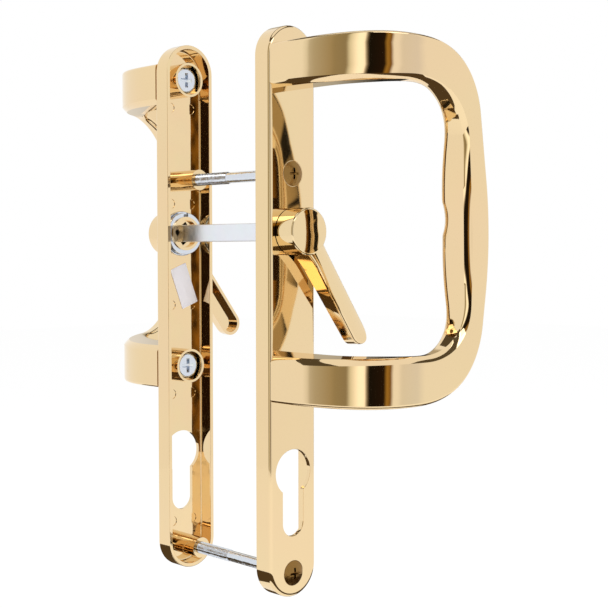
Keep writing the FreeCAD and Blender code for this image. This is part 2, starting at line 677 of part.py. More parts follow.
def make_through_bolts():
    for label, up in (("upper_through_bolt", "upper_bolt_rise"), ("lower_through_bolt", f"-({LOWER_BOLT})")):
        body = new_body(label, up)
        head, shank, thread = "bolt_head / 2", "bolt_shank / 2", "bolt_thread / 2"
        revolve(
            body,
            ("0", "-bolt_dome", "(bolt_head ^ 2 / 4 + bolt_dome ^ 2) / (2 * bolt_dome)"),
            (head, "0"),
            (shank, "bolt_cone"),
            (shank, "bolt_plain"),
            (thread, "bolt_plain + thread_start"),
            (thread, "bolt_length - thread_chamfer"),
            (thread + " - thread_chamfer", "bolt_length"),
            ("0", "bolt_length"),
        )
        pocket(body, cross(body, "bolt_head", "bolt_dome"), "cross_depth")


def make_pull_screws():
    seat = "plate_web + cup_seat"
    top = seat + " + screw_head_height"
    head, thread = "screw_head / 2", "screw_thread / 2"
    for name, up in (("upper_pull_screw", "upper_screw_rise"), ("lower_pull_screw", "-lower_screw_drop")):
        body = new_body("outer_" + name, up)
        revolve(
            body,
            ("0", "-screw_reach"),
            (thread + " - thread_chamfer", "-screw_reach"),
            (thread, "thread_chamfer - screw_reach"),
            (thread, seat),
            (head, seat),
            (head, top + " - screw_head_round", "screw_head_round"),
            (head + " - screw_head_round", top),
            ("0", top),
        )
        pocket(body, cross(body, "screw_head", f"-({top})"), "cross_depth", inwards=False)
        mirror("inner_" + name, body)


def make_label():
    """The plain paper label stuck inside the inner backplate."""
    label = doc.addObject("Part::Box", "blank_label")
    label.Label = "blank_label"
    label.setExpression("Length", bound("label_width"))
    label.setExpression("Width", bound("label_sheet"))
    label.setExpression("Height", bound("label_height"))
    turn = Rotation(Vector(0, 1, 0), number("label_turn"))
    level = number(FRONT_FACE + " - plate_web - label_sheet")
    centre = Vector(number("label_side"), level, -number("label_drop"))
    corner = turn.multVec(Vector(-number("label_width") / 2, 0, -number("label_height") / 2))
    label.Placement = Placement(centre + corner, turn)
    parts.append(label)


def export():
    doc.recompute()
    for item in doc.Objects:
        if {"Invalid", "Error"} & set(item.State):
            raise RuntimeError(f"{item.Label} failed: {item.State}")
    os.makedirs("parts", exist_ok=True)
    for piece in parts:
        if piece.Shape.isNull() or not piece.Shape.isValid() or len(piece.Shape.Solids) != 1:
            raise RuntimeError(f"{piece.Label} is not one valid solid")
    for piece in parts:
        piece.Shape.exportStep(f"parts/{piece.Label}.step")
        print(piece.Label, round(piece.Shape.Volume, 1), "mm3")


fill_sheet()
make_backplates()
make_pulls()
make_levers()
make_retention()
make_spindle()
make_through_bolts()
make_pull_screws()
make_label()
export()
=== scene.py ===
import bisect
import math

import bmesh
import bpy
from mathutils import Euler, Matrix, Vector


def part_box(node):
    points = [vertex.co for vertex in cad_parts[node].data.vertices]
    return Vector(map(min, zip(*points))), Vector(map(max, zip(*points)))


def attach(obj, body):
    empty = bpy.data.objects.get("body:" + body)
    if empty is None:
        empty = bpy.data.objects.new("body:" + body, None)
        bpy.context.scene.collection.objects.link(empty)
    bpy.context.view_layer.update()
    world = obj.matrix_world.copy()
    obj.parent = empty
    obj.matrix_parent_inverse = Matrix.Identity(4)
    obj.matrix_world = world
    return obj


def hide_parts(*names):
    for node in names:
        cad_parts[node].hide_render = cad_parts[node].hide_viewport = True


bl_info = {
    "name": "Patio Door Handle Set",
    "version": (1, 0, 0),
    "blender": (4, 5, 0),
    "location": "3D Viewport > Sidebar > Handle",
    "description": "Dresses the patio door handle set in polished gold and bright zinc",
    "category": "Object",
}

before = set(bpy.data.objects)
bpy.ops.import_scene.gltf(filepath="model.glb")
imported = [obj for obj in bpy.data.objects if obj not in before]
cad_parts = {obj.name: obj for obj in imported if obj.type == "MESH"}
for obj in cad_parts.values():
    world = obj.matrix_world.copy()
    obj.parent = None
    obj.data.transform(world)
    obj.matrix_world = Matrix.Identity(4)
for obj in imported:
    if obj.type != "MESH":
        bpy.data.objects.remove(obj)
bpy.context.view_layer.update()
MM = 0.001
TURN = 2 * math.pi
ROUND_STEPS = 96
ARM_STEPS = 40
CORNER_STEPS = 24
GRIP_STEPS = 48
LEVER_STEPS = 36
DOME_SPAN = 6.6
OUTWARDS = Vector((0, -1, 0))
SQUARE = ((1, 1), (-1, 1), (-1, -1), (1, -1))
PAST = 1.0


def low(node, axis):
    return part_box(node)[0][axis] / MM


def high(node, axis):
    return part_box(node)[1][axis] / MM


def centre_z(node):
    return (low(node, 2) + high(node, 2)) / 2


FRONT = -low("outer_backplate", 1)
RIM = -high("outer_backplate", 1)


def length(name, default, description):
    return bpy.props.FloatProperty(name=name, default=default, description=description + ", mm", min=0.0)


def colour(name, default, description):
    return bpy.props.FloatVectorProperty(
        name=name, default=default, description=description, subtype="COLOR", size=3, min=0.0, max=1.0)


class HandlePlateSizes(bpy.types.PropertyGroup):
    width: length("Width", high("outer_backplate", 0) - low("outer_backplate", 0), "Backplate width")
    top: length("Top", high("outer_backplate", 2), "Backplate's top above the spindle")
    foot: length("Foot", -low("outer_backplate", 2), "Backplate's foot below the spindle")
    web: length("Front", 1.8, "Thickness of the backplate's front")
    wall: length("Wall", 1.6, "Thickness of the side wall")
    edge: length("Edge", 1.5, "Round on the front edge")
    root: length("Root", 0.6, "Round between front and side wall")
    crisp: length("Hole edge", 0.22, "Round on the edges of holes and rim")
    cylinder: length("Cylinder", 92.0, "Lock cylinder below the spindle")
    cylinder_round: length("Cylinder hole", 17.7, "Round part of the cylinder hole")
    cylinder_slot: length("Cylinder slot", 10.5, "Width of the cylinder hole's slot")
    cylinder_reach: length("Slot reach", 19.4, "Round part's centre to slot end's centre")
    cup: length("Cup", 7.0, "Radius of the cup round a pull screw")
    cup_bore: length("Cup bore", 6.05, "Radius of the cup's inside")
    cup_seat: length("Cup seat", 1.5, "Seat under the screw's head above the front")
    cup_setback: length("Cup setback", 0.3, "Cup's edge below the rim")
    screw_hole: length("Screw hole", 2.8, "Radius of the pull screw's hole")
    neck_hole: length("Neck hole", 7.08, "Radius of the hole for the lever's neck")
    boss: length("Boss", 5.7, "Radius of the boss round a countersink")
    boss_end: length("Boss end", 4.0, "That boss's end behind the front face")
    post: length("Post", 4.2, "Radius of a threaded post")
    post_bore: length("Post bore", 2.5, "Radius of the post's thread")
    post_beyond: length("Post beyond", 6.3, "Post's end beyond the rim")
    mark: length("Mark", 2.1, "Radius of an ejector pin mark")
    mark_depth: length("Mark depth", 0.25, "Depth of an ejector pin mark")


class HandlePullSizes(bpy.types.PropertyGroup):
    standoff: length("Standoff", -low("outer_pull", 1) - FRONT, "Outer face above the backplate")
    bar: length("Bar", 14.0, "Thickness of the grip in the middle")
    arm: length("Arm", 10.0, "Thickness where arm and grip meet")
    near: length("Near side", -low("outer_pull", 0), "Straight side beside the centre line")
    far: length("Far side", 5.0, "Foot's other side beside the centre line")
    bend: length("Bend", 49.0, "Outer radius of the bend away from the door")
    slope_start: length("Slope start", 23.5, "Where the slope behind the arm leaves the foot")
    slope_end: length("Slope end", 16.2, "Where that slope reaches the arm's back")
    foot_round: length("Foot round", 40.0, "Round between foot and slope")
    back_round: length("Back round", 9.0, "Round between slope and the arm's back")
    belly_top: length("Belly top", 13.0, "Top of the grip's thick middle above the spindle")
    belly_foot: length("Belly foot", 7.0, "Foot of the thick middle below the spindle")
    belly_round: length("Belly round", 115.0, "Radius of the swell from the middle to the arms")
    belly_hollow: length("Belly hollow", 57.5, "Radius of the hollow between swell and arm")
    waist: length("Waist", 14.0, "Radius of the short hollow between the fingers")
    waist_depth: length("Waist depth", 1.4, "Depth of that hollow")
    waist_rise: length("Waist rise", 4.5, "That hollow above the spindle")
    edge: length("Edge", 1.5, "Round along the outer edges")
    inner_edge: length("Inner edge", 3.0, "Round along the inner edges")
    chamfer: length("Chamfer", 2.2, "Flat along the front edges of the hand's opening")


class HandleLeverSizes(bpy.types.PropertyGroup):
    boss: length("Boss", 9.0, "Radius of the lever's boss")
    height: length("Height", 10.0, "Boss's face above the backplate")
    dome: length("Dome", 70.0, "Radius of the boss's gently domed face")
    gap: length("Gap", 0.3, "Running gap between lever and backplate")
    back: length("Back", 1.5, "Arm's back above the backplate")
    tip: length("Tip", 5.1, "Radius of the lever's tip at its back")
    tip_height: length("Tip height", 6.9, "Arm's front at the tip above the backplate")
    reach: length("Length", 49.0, "Spindle to the tip's centre")
    blend: length("Blend", 26.0, "Hollow round between boss and arm")
    edge: length("Edge", 0.9, "Round along the front edges")
    ridge: bpy.props.FloatProperty(
        name="Ridge", default=-2.5, description="Arm's highest line beside its middle, mm")
    crown: length("Crown", 13.0, "Radius of the arm's bowed front")
    lip: length("Lip", 1.3, "Rim round the hollow in the arm's back")
    hollow: length("Hollow", 2.9, "Depth of that hollow")
    neck: length("Neck", 7.0, "Radius of the neck through the backplate")
    neck_end: length("Neck end", 5.5, "Neck's end behind the backplate's front")
    recess: length("Neck recess", 5.8, "Radius of the recess in the neck's end")
    recess_depth: length("Recess depth", 1.6, "Depth of that recess")
    square: length("Square", 3.55, "Half the square hole for the spindle")
    square_end: length("Square end", 5.05, "Square hole's end above the backplate")
    rest: bpy.props.FloatProperty(
        name="Rest", default=math.radians(37), subtype="ANGLE", description="Angle from straight down")


class HandleFastenerSizes(bpy.types.PropertyGroup):
    head: length("Bolt head", 4.75, "Radius of the through bolt's head")
    dome: length("Dome", 1.0, "Raised part of that head")
    cone: length("Cone", 2.6, "Height of the head's cone")
    shank: length("Shank", 2.15, "Radius of the plain shank")
    thread: length("Thread", 2.45, "Radius over the thread")
    pitch: length("Pitch", 0.8, "Pitch of the thread")
    groove: length("Groove", 0.42, "Depth of the thread's groove")
    plain: length("Plain length", 38.0, "Front face to the start of the thread")
    bolt: length("Bolt length", 66.0, "Front face to the bolt's end")
    screw_head: length("Screw head", 5.4, "Radius of the pull screw's head")
    seat: length("Seat", 3.3, "Head's seat behind the backplate's front")
    head_height: length("Head height", 2.8, "Height of the pull screw's head")
    head_round: length("Head round", 1.2, "Round on that head")
    reach: length("Reach", 10.0, "Screw's end beyond the backplate's front")
    span: length("Recess", 2.7, "Half the driver recess")
    blade: length("Blade", 0.55, "Half a blade of the driver recess")
    deep: length("Recess depth", 1.7, "Depth of the driver recess")


class HandleFinishes(bpy.types.PropertyGroup):
    gold: colour("Gold", (0.86, 0.66, 0.39), "Polished gold plating")
    zinc: colour("Zinc", (0.70, 0.74, 0.80), "Bright zinc plating")
    head: colour("Bolt head", (0.28, 0.155, 0.045), "Brass finish of the bolt heads")
    paper: colour("Paper", (0.90, 0.88, 0.93), "Blank label")


def rest():
    """Leaves edit mode with nothing selected."""
    if bpy.context.mode != "OBJECT":
        bpy.ops.object.mode_set(mode="OBJECT")
    bpy.ops.object.select_all(action="DESELECT")


def take(piece):
    rest()
    piece.select_set(True)
    bpy.context.view_layer.objects.active = piece
    return piece


def settle(piece):
    """Puts the piece's place, turn and scale into its mesh."""
    take(piece)
    bpy.ops.object.transform_apply(location=True, rotation=True, scale=True)
    return piece


def edit(piece, mode="EDGE"):
    take(piece)
    bpy.ops.object.mode_set(mode="EDIT")
    bpy.ops.mesh.select_mode(type=mode)
    bpy.ops.mesh.select_all(action="DESELECT")
    return bmesh.from_edit_mesh(piece.data)


def edit_all(piece, mode="EDGE"):
    edit(piece, mode)
    bpy.ops.mesh.select_all(action="SELECT")


def swung(piece, angle, centre=(0, 0, 0)):
    """The piece turned about an axis along Y through the centre."""
    edit_all(piece)
    bpy.ops.transform.rotate(value=angle, orient_axis="Y", center_override=centre)
    rest()
    return piece


def spot(x, outwards, z):
    """A place in the row frame, in metres, from mm beside, in front of and above the spindle's end."""
    return Vector((x * MM, -(FRONT + outwards) * MM, z * MM))


def drawn(name, corners, away, close=True):
    """The outline through the corners, drawn point by point, filled and pulled out by the vector away."""
    rest()
    bpy.ops.mesh.primitive_plane_add(size=MM, location=corners[0])
    piece = bpy.context.object
    piece.name = name
    bpy.ops.object.mode_set(mode="EDIT")
    bpy.ops.mesh.select_mode(type="VERT")
    bpy.ops.mesh.merge(type="CENTER")
    here = corners[0]
    for there in corners[1:]:
        bpy.ops.mesh.extrude_vertices_move(TRANSFORM_OT_translate={"value": there - here})
        here = there
    bpy.ops.mesh.select_all(action="SELECT")
    if close:
        bpy.ops.mesh.edge_face_add()
        bpy.ops.mesh.extrude_region_move(TRANSFORM_OT_translate={"value": away})
        bpy.ops.mesh.select_all(action="SELECT")
        bpy.ops.mesh.normals_make_consistent(inside=False)
    return settle(piece)


def rod(name, radius, start, end, steps=ROUND_STEPS):
    rest()
    way = end - start
    bpy.ops.mesh.primitive_cylinder_add(
        vertices=steps, radius=radius * MM, depth=way.length, location=(start + end) / 2,
        rotation=way.to_track_quat("Z", "Y").to_euler())
    piece = bpy.context.object
    piece.name = name
    return settle(piece)


def turned(name, profile, place, closed=False, steps=ROUND_STEPS):
    """A turned piece: (radius, outwards) corners in mm, spun round the axis along Y through place."""
    corners = [place + Vector((radius * MM, -out * MM, 0)) for radius, out in profile]
    if closed:
        corners.append(corners[0])
    piece = drawn(name, corners, None, close=False)
    edit_all(piece, "VERT")
    bpy.ops.mesh.spin(steps=steps, angle=TURN, center=place, axis=(0, 1, 0))
    bpy.ops.mesh.select_all(action="SELECT")
    bpy.ops.mesh.remove_doubles(threshold=0.002 * MM)
    bpy.ops.mesh.normals_make_consistent(inside=False)
    return settle(piece)


def combine(piece, tool, operation):
    take(piece)
    bpy.ops.object.modifier_add(type="BOOLEAN")
    step = piece.modifiers[-1]
    step.operation = operation
    step.solver = "EXACT"
    step.object = tool
    bpy.ops.object.modifier_apply(modifier=step.name)
    bpy.data.objects.remove(tool, do_unlink=True)
    return piece


def bevel(piece, radius, segments, wanted, sharper=30):
    """Rounds each sharp edge for which wanted(one end, other end) holds."""
    shape = edit(piece)
    count = 0
    for edge in shape.edges:
        if edge.is_manifold and edge.calc_face_angle() > math.radians(sharper):
            if wanted(edge.verts[0].co / MM, edge.verts[1].co / MM):
                edge.select_set(True)
                count += 1
    if not count:
        raise RuntimeError(f"{piece.name}: no edge to round by {radius}")
    bmesh.update_edit_mesh(piece.data)
    bpy.ops.mesh.bevel(offset=radius * MM, segments=segments, affect="EDGES", clamp_overlap=False)
    rest()
    return piece


def arc(centre, radius, start, end, step=3.0):
    """Points of an arc in the plane, angles in degrees."""
    count = max(2, math.ceil(abs(end - start) / step))
    angles = [math.radians(start + (end - start) * i / count) for i in range(count + 1)]
    return [(centre[0] + radius * math.cos(a), centre[1] + radius * math.sin(a)) for a in angles]


def upright_slot(half, top, bottom, outwards, side=0.0):
    """Corners of a slot with half round ends, in the plate's plane."""
    ends = arc((side, top), half, 0, 180) + arc((side, bottom), half, 180, 360)
    return [spot(x, outwards, z) for x, z in ends]


def polish(piece, angle=32):
    """Smooth shading with true flats."""
    take(piece)
    bpy.ops.object.shade_smooth_by_angle(angle=math.radians(angle))
    bpy.ops.object.modifier_add(type="WEIGHTED_NORMAL")
    piece.modifiers[-1].keep_sharp = True
    bpy.ops.object.modifier_apply(modifier=piece.modifiers[-1].name)
    return piece


def mirrored(piece, name):
    """A copy on the other side of the door."""
    take(piece)
    bpy.ops.object.duplicate()
    other = bpy.context.object
    other.name = name
    edit_all(other)
    bpy.ops.transform.resize(value=(1, -1, 1), center_override=(0, 0, 0))
    bpy.ops.mesh.flip_normals()
    return settle(other)


def dress(piece, node, body, slot, *materials):
    """Hands the finished piece to the frame in place of its node."""
    piece.data.materials.clear()
    for material in materials:
        piece.data.materials.append(material)
    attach(piece, body)
    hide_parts(node)


def socket_group(name, inputs, outputs):
    group = bpy.data.node_groups.new(name, "ShaderNodeTree")
    for label, kind, default in inputs:
        item = group.interface.new_socket(name=label, in_out="INPUT", socket_type=kind)
        item.default_value = default
    for label, kind in outputs:
        group.interface.new_socket(name=label, in_out="OUTPUT", socket_type=kind)
    return group, group.nodes.new("NodeGroupInput"), group.nodes.new("NodeGroupOutput")


def polish_group():
    """Slow waves of a hand-polished surface with fine hairlines, and a slightly uneven sheen."""
    name = "Polished surface"
    if name in bpy.data.node_groups:
        return bpy.data.node_groups[name]
    group, given, result = socket_group(
        name,
        [("Colour", "NodeSocketColor", (0.8, 0.6, 0.4, 1)), ("Waves", "NodeSocketFloat", 0.2),
         ("Wave size", "NodeSocketFloat", 30.0), ("Roughness", "NodeSocketFloat", 0.05)],
        [("Colour", "NodeSocketColor"), ("Roughness", "NodeSocketFloat"), ("Normal", "NodeSocketVector")])
    nodes, links = group.nodes, group.links
    place = nodes.new("ShaderNodeTexCoord")
    waves = nodes.new("ShaderNodeTexNoise")
    waves.inputs["Detail"].default_value = 1.0
    hair = nodes.new("ShaderNodeTexNoise")
    hair.inputs["Scale"].default_value = 900.0
    hair.inputs["Detail"].default_value = 3.0
    bump = nodes.new("ShaderNodeBump")
    bump.inputs["Distance"].default_value = 0.001
    shade = nodes.new("ShaderNodeMix")
    shade.data_type = "RGBA"
    shade.blend_type = "MULTIPLY"
    shade.inputs["Factor"].default_value = 0.06
    uneven = nodes.new("ShaderNodeMapRange")
    uneven.inputs["To Min"].default_value = 0.8
    uneven.inputs["To Max"].default_value = 1.3
    rough = nodes.new("ShaderNodeMath")
    rough.operation = "MULTIPLY"
    links.new(place.outputs["Object"], waves.inputs["Vector"])
    links.new(place.outputs["Object"], hair.inputs["Vector"])
    links.new(given.outputs["Wave size"], waves.inputs["Scale"])
    links.new(waves.outputs["Fac"], bump.inputs["Height"])
    links.new(given.outputs["Waves"], bump.inputs["Strength"])
    links.new(given.outputs["Colour"], shade.inputs["A"])
    links.new(waves.outputs["Color"], shade.inputs["B"])
    links.new(hair.outputs["Fac"], uneven.inputs["Value"])
    links.new(uneven.outputs["Result"], rough.inputs[0])
    links.new(given.outputs["Roughness"], rough.inputs[1])
    links.new(shade.outputs["Result"], result.inputs["Colour"])
    links.new(rough.outputs["Value"], result.inputs["Roughness"])
    links.new(bump.outputs["Normal"], result.inputs["Normal"])
    return group


def metal(name, tint, waves=0.06, wave_size=30.0, roughness=0.04):
    """A plated metal: its own shader fed by the polished surface group."""
    if name in bpy.data.materials:
        return bpy.data.materials[name]
    material = bpy.data.materials.new(name)
    material.use_nodes = True
    nodes, links = material.node_tree.nodes, material.node_tree.links
    shader = nodes["Principled BSDF"]
    shader.inputs["Metallic"].default_value = 1.0
    surface = nodes.new("ShaderNodeGroup")
    surface.node_tree = polish_group()
    surface.inputs["Colour"].default_value = (*tint, 1)
    surface.inputs["Waves"].default_value = waves
    surface.inputs["Wave size"].default_value = wave_size
    surface.inputs["Roughness"].default_value = roughness
    links.new(surface.outputs["Colour"], shader.inputs["Base Color"])
    links.new(surface.outputs["Roughness"], shader.inputs["Roughness"])
    links.new(surface.outputs["Normal"], shader.inputs["Normal"])
    return material


def finishes():
    return bpy.context.scene.handle_finishes


def polished_gold():
    return metal("polished gold", finishes().gold)


def cast_gold():
    return metal("gold over rough casting", finishes().gold, waves=0.1, wave_size=110.0, roughness=0.05)


def bright_zinc():
    return metal("bright zinc", finishes().zinc, waves=0.1, wave_size=500.0, roughness=0.16)


def bolt_brass():
    return metal("bolt head brass", finishes().head, waves=0.15, wave_size=700.0, roughness=0.22)


def rolled_zinc():
    return metal("rolled zinc", (0.84, 0.87, 0.92), waves=0.05, wave_size=200.0, roughness=0.3)


def paper():
    material = bpy.data.materials.new("paper")
    material.use_nodes = True
    shader = material.node_tree.nodes["Principled BSDF"]
    shader.inputs["Base Color"].default_value = (*finishes().paper, 1)
    shader.inputs["Roughness"].default_value = 0.7
    return material


def plate_shell(name):
    """The hollow backplate of the outer half, with what both halves share."""
    sizes = bpy.context.scene.handle_plate
    half = sizes.width / 2
    top, bottom = sizes.top - half, half - sizes.foot
    depth = FRONT - RIM
    piece = drawn(name, upright_slot(half, top, bottom, -depth), OUTWARDS * depth * MM)
    bevel(piece, sizes.edge, 6, lambda a, b: a.y < -FRONT + 0.01 and b.y < -FRONT + 0.01)
    cavity = drawn("cavity", upright_slot(half - sizes.wall, top, bottom, -depth - PAST),
                   OUTWARDS * (depth + PAST - sizes.web) * MM)
    floor = sizes.web - FRONT
    bevel(cavity, sizes.root, 3, lambda a, b: abs(a.y - floor) < 0.01 and abs(b.y - floor) < 0.01)
    combine(piece, cavity, "DIFFERENCE")
    for screw in ("outer_upper_pull_screw", "outer_lower_pull_screw"):
        up = centre_z(screw)
        inner_end, seat = spot(0, -depth - PAST, up), spot(0, -sizes.web - sizes.cup_seat, up)
        cup = rod("cup", sizes.cup, spot(0, -depth + sizes.cup_setback, up), spot(0, -1, up))
        combine(piece, cup, "UNION")
        combine(piece, rod("bore", sizes.cup_bore, inner_end, seat), "DIFFERENCE")
        combine(piece, rod("hole", sizes.screw_hole, inner_end, spot(0, PAST, up)), "DIFFERENCE")
    combine(piece, rod("neck hole", sizes.neck_hole, spot(0, -depth, 0), spot(0, PAST, 0)), "DIFFERENCE")
    below = -sizes.cylinder
    keyhole = rod("keyhole", sizes.cylinder_round / 2, spot(0, -depth, below), spot(0, PAST, below))
    slot = drawn("slot", upright_slot(sizes.cylinder_slot / 2, below, below - sizes.cylinder_reach, -depth),
                 OUTWARDS * (depth + PAST) * MM)
    combine(keyhole, slot, "UNION")
    combine(piece, keyhole, "DIFFERENCE")
    return piece


MARK_HEIGHTS = (52.3, 12.4, -29.9, -67.4, -121.2)
MARK_SIDE = 5.2


def ejector_marks(piece, side):
    """Shallow round marks in the web, on the outer (-1) or inner (1) half."""
    sizes = bpy.context.scene.handle_plate
    floor = FRONT - sizes.web
    for up in MARK_HEIGHTS:
        for across in (-MARK_SIDE, MARK_SIDE):
            start = Vector((across, side * (floor - 2), up)) * MM
            end = Vector((across, side * (floor + sizes.mark_depth), up)) * MM
            combine(piece, rod("mark", sizes.mark, start, end, 32), "DIFFERENCE")


def finish_plate(piece, node):
    """Breaks the sharp edges, and gives the rough inside its own finish."""
    sizes = bpy.context.scene.handle_plate
    side = -1 if node.startswith("outer") else 1
    front, rim = side * FRONT, side * RIM

    def at_opening(a, b):
        return all(abs(p.y - front) < 0.01 or abs(p.y - rim) < 0.01 for p in (a, b))

    bevel(piece, sizes.crisp, 2, at_opening)
    polish(piece)
    dress(piece, node, "fixed_set", "polished_gold", polished_gold(), cast_gold())
    inside = (sizes.width / 2 - sizes.wall / 2) * MM
    low_end, high_end = (sizes.width / 2 - sizes.foot) * MM, (sizes.top - sizes.width / 2) * MM
    for face in piece.data.polygons:
        x, y, z = face.center
        from_spine = math.hypot(x, max(0.0, z - high_end, low_end - z))
        if from_spine < inside and abs(y) < (FRONT - sizes.web + 0.3) * MM:
            face.material_index = 1


class HANDLE_OT_stage(bpy.types.Operator):
    """Floor, studio screen, lamps and camera"""
    bl_idname = "handle.stage"
    bl_label = "Stage"

    def execute(self, context):
        make_floor()
        make_screen()
        make_lamps()
        make_camera()
        make_world()
        return {"FINISHED"}


def make_floor():
    rest()
    bpy.ops.mesh.primitive_plane_add(size=8, location=(0, 0, -0.32))
    floor = bpy.context.object
    floor.name = "floor"
    material = bpy.data.materials.new("pale floor")
    material.use_nodes = True
    shader = material.node_tree.nodes["Principled BSDF"]
    shader.inputs["Base Color"].default_value = (0.99, 0.99, 0.99, 1)
    shader.inputs["Roughness"].default_value = 0.9
    shader.inputs["Specular IOR Level"].default_value = 0.0
    floor.data.materials.append(material)


# The studio's cards from the left of the front, each as its azimuth in degrees and its light.
SCREEN_TONES = [
    (-180, 1, 1, 1), (-115, 1, 1, 1), (-110, 0.85, 0.84, 0.8), (-107, 0.6, 0.57, 0.5),
    (-102, 0.52, 0.48, 0.38), (-86, 0.42, 0.35, 0.22), (-82, 0.36, 0.3, 0.18), (-71, 0.32, 0.27, 0.17),
    (-68, 0.79, 0.78, 0.66), (-64, 1.1, 1.08, 1.0), (-60, 1.35, 1.35, 1.3), (-55, 1.35, 1.35, 1.3),
    (-53, 0.25, 0.2, 0.14), (-51, 0.01, 0.008, 0.005), (-38, 0.02, 0.01, 0.005), (-35, 0.4, 0.22, 0.04),
    (-32, 0.2, 0.1, 0.02), (-30, 1, 1, 1), (-26, 1, 1, 1), (-22, 0.84, 0.84, 0.84),
    (-9, 0.84, 0.85, 0.9), (-2, 1, 1, 1), (112, 1, 1, 1), (116, 0.02, 0.02, 0.02),
    (131, 0.02, 0.02, 0.02), (134, 0.5, 0.45, 0.35), (143, 0.5, 0.45, 0.35), (150, 1, 1, 1),
]
SCREEN_PEAK = 2.0


def only_reflected(item):
    item.visible_camera = False
    item.visible_diffuse = False
    item.visible_shadow = False
    item.visible_transmission = False


def make_screen():
    """A ring of studio cards that only reflections see."""
    rest()
    bpy.ops.mesh.primitive_cylinder_add(vertices=128, radius=1.3, depth=1.6, end_fill_type="NOTHING",
                                        location=(0, 0, 0.45))
    screen = settle(bpy.context.object)
    screen.name = "studio_cards"
    only_reflected(screen)
    material = bpy.data.materials.new("studio cards")
    material.use_nodes = True
    nodes, links = material.node_tree.nodes, material.node_tree.links
    nodes.clear()
    place = nodes.new("ShaderNodeTexCoord")
    parts = nodes.new("ShaderNodeSeparateXYZ")
    depth = nodes.new("ShaderNodeMath")
    depth.operation = "MULTIPLY"
    depth.inputs[1].default_value = -1
    angle = nodes.new("ShaderNodeMath")
    angle.operation = "ARCTAN2"
    share = nodes.new("ShaderNodeMapRange")
    share.inputs["From Min"].default_value = -math.pi
    share.inputs["From Max"].default_value = math.pi
    ramp = nodes.new("ShaderNodeValToRGB")
    glow = nodes.new("ShaderNodeEmission")
    glow.inputs["Strength"].default_value = SCREEN_PEAK
    result = nodes.new("ShaderNodeOutputMaterial")
    stops = ramp.color_ramp.elements
    for index, (azimuth, *tone) in enumerate(SCREEN_TONES):
        share_of_turn = azimuth / 360 + 0.5
        stop = stops[index] if index < 2 else stops.new(share_of_turn)
        stop.position = share_of_turn
        stop.color = (*[part / SCREEN_PEAK for part in tone], 1)
    links.new(place.outputs["Object"], parts.inputs["Vector"])
    links.new(parts.outputs["Y"], depth.inputs[0])
    links.new(parts.outputs["X"], angle.inputs[0])
    links.new(depth.outputs["Value"], angle.inputs[1])
    links.new(angle.outputs["Value"], share.inputs["Value"])
    links.new(share.outputs["Result"], ramp.inputs["Fac"])
    links.new(ramp.outputs["Color"], glow.inputs["Color"])
    links.new(glow.outputs["Emission"], result.inputs["Surface"])
    screen.data.materials.append(material)
    make_ring("studio_ground", -0.3, 0.27, 0.08, (0.09, 0.06, 0.03))
    make_ring("studio_ceiling", 1.3, 0.95, 0.2, (0.1, 0.08, 0.05))


def make_ring(name, level, radius, thick, tone):
    """A dark ring under or over the set, for the fine dark lines along its edges."""
    rest()
    bpy.ops.mesh.primitive_torus_add(major_radius=radius, minor_radius=thick, location=(0, 0, level))
    ring = settle(bpy.context.object)
    ring.name = name
    only_reflected(ring)
    material = bpy.data.materials.new(name)
    material.use_nodes = True
    nodes = material.node_tree.nodes
    glow = nodes.new("ShaderNodeEmission")
    glow.inputs["Color"].default_value = (*tone, 1)
    material.node_tree.links.new(glow.outputs["Emission"], nodes["Material Output"].inputs["Surface"])
    ring.data.materials.append(material)


def make_lamps():
    rest()
    bpy.ops.object.light_add(type="AREA", location=(-0.5, -0.9, 1.1))
    lamp = bpy.context.object
    lamp.name = "soft_key"
    lamp.data.size = 0.8
    lamp.data.energy = 4.0
    lamp.rotation_euler = (-lamp.location).to_track_quat("-Z", "Y").to_euler()


def make_camera():
    """The photo's place: level with the spindle, to the left of the outer half's front."""
    rest()
    azimuth, elevation, roll = math.radians(-42.94), math.radians(2.48), math.radians(-0.075)
    bpy.ops.object.camera_add(location=(-0.3206, -0.3864, -0.0069))
    camera = bpy.context.object
    facing = Euler((math.pi / 2 - elevation, 0, azimuth)).to_matrix()
    camera.rotation_euler = (facing @ Matrix.Rotation(roll, 3, "Z")).to_euler()
    camera.data.lens = 73.96
    camera.data.sensor_width = 36.0
    camera.data.clip_start = 0.01
    bpy.context.scene.camera = camera


def make_world():
    world = bpy.data.worlds.new("white studio")
    world.use_nodes = True
    world.node_tree.nodes["Background"].inputs["Color"].default_value = (1, 1, 1, 1)
    world.node_tree.nodes["Background"].inputs["Strength"].default_value = 1.0
    bpy.context.scene.world = world
    bpy.context.scene.view_settings.view_transform = "Standard"


# The countersink for a through bolt, as (radius, outwards) corners.
COUNTERSINK = [(0, 1), (5.1, 1), (4.8, 0), (2.2, -2.6), (2.2, -9), (0, -9)]


